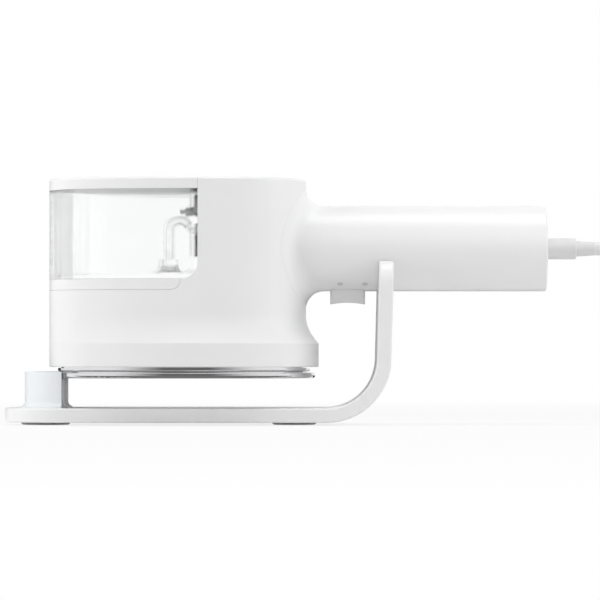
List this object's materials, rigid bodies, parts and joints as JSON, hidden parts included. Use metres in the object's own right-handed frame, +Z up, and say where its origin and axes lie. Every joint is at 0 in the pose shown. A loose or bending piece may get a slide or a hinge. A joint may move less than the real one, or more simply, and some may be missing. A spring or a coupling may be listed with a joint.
{
  "type": "garment steamer",
  "caption": "White handheld garment steamer with a clear water tank and polished soleplate, lying on a bent-strip stand, with its mains cord coiled.",
  "frame": {"origin": "under the middle of the stand and steamer, on the surface that the feet stand on", "axes": "+X along the handle towards the cord, +Y to the far side of the picture, +Z up"},
  "size_m": [0.441, 0.1113, 0.1153],
  "materials": {
    "white_plastic": "satin",
    "rest_plastic": "satin",
    "rest_silicone": "matte",
    "grey_silicone": "matte",
    "foot_rubber": "matte",
    "clear_plastic": "gloss",
    "polished_steel": "polished",
    "cast_aluminium": "cast",
    "steel": "brushed",
    "brass": "polished",
    "hose_silicone": "satin",
    "dark_plastic": "satin",
    "coil_wrap": "satin",
    "inner_plastic": "satin",
    "board": "satin",
    "lens": "gloss",
    "wire_insulation": "satin",
    "relief_rubber": "satin",
    "cord_sheath": "satin",
    "plug_plastic": "satin",
    "tie": "matte"
  },
  "bodies": {
    "stand": {"stand_strip": "white_plastic", "front_rest": "rest_plastic", "rest_pad": "rest_silicone", "stand_feet": "foot_rubber", "rest_screws": "steel", "cord_lead": "cord_sheath", "cord_coil": "cord_sheath", "cord_tail": "cord_sheath", "cord_tie": "tie", "plug_body": "plug_plastic", "plug_pins": "brass"},
    "steamer": {"head_shell": "white_plastic", "tank_dock": "white_plastic", "head_skirt": "white_plastic", "trim_ring": "polished_steel", "soleplate": "polished_steel", "heat_gasket": "grey_silicone", "steam_chamber": "cast_aluminium", "heating_element": "steel", "thermostat": "steel", "thermal_fuse": "dark_plastic", "inlet_nipple": "brass", "outlet_hose": "hose_silicone", "pump_body": "dark_plastic", "pump_coil": "coil_wrap", "pump_spring": "steel", "pump_bracket": "steel", "bracket_screws": "steel", "dock_nipple": "inner_plastic", "inlet_hose": "hose_silicone", "handle_shell": "white_plastic", "handle_tray": "inner_plastic", "control_board": "board", "tact_switch": "dark_plastic", "button_spring": "steel", "indicator_lenses": "lens", "handle_end_cap": "white_plastic", "strain_relief": "relief_rubber", "mains_leads": "wire_insulation", "pump_leads": "wire_insulation", "heater_leads": "wire_insulation"},
    "tank": {"tank_shell": "clear_plastic", "tank_cap": "white_plastic", "filler_plug": "grey_silicone", "port_seal": "grey_silicone", "grip_pad": "grey_silicone", "intake_hose": "clear_plastic", "intake_weight": "clear_plastic"},
    "button": {"steam_button": "white_plastic"},
    "piston": {"pump_piston": "steel"}
  },
  "joints": [
    {"name": "steamer_lift", "type": "slide", "parent": "stand", "child": "steamer", "axis": [0, 0, 1], "range_m": [0, 0.06], "deforming": ["cord_lead"]},
    {"name": "tank_slide", "type": "slide", "parent": "steamer", "child": "tank", "axis": [-1, 0, 0], "range_m": [0, 0.075]},
    {"name": "steam_button_press", "type": "slide", "parent": "steamer", "child": "button", "axis": [0, 0, 1], "range_m": [0, 0.003], "stiffness_N_per_m": 800, "springref_m": -0.002, "deforming": ["button_spring"]},
    {"name": "pump_stroke", "type": "slide", "parent": "steamer", "child": "piston", "axis": [0, 0, 1], "range_m": [0, 0.003], "stiffness_N_per_m": 600, "springref_m": -0.003, "deforming": ["pump_spring"]}
  ]
}
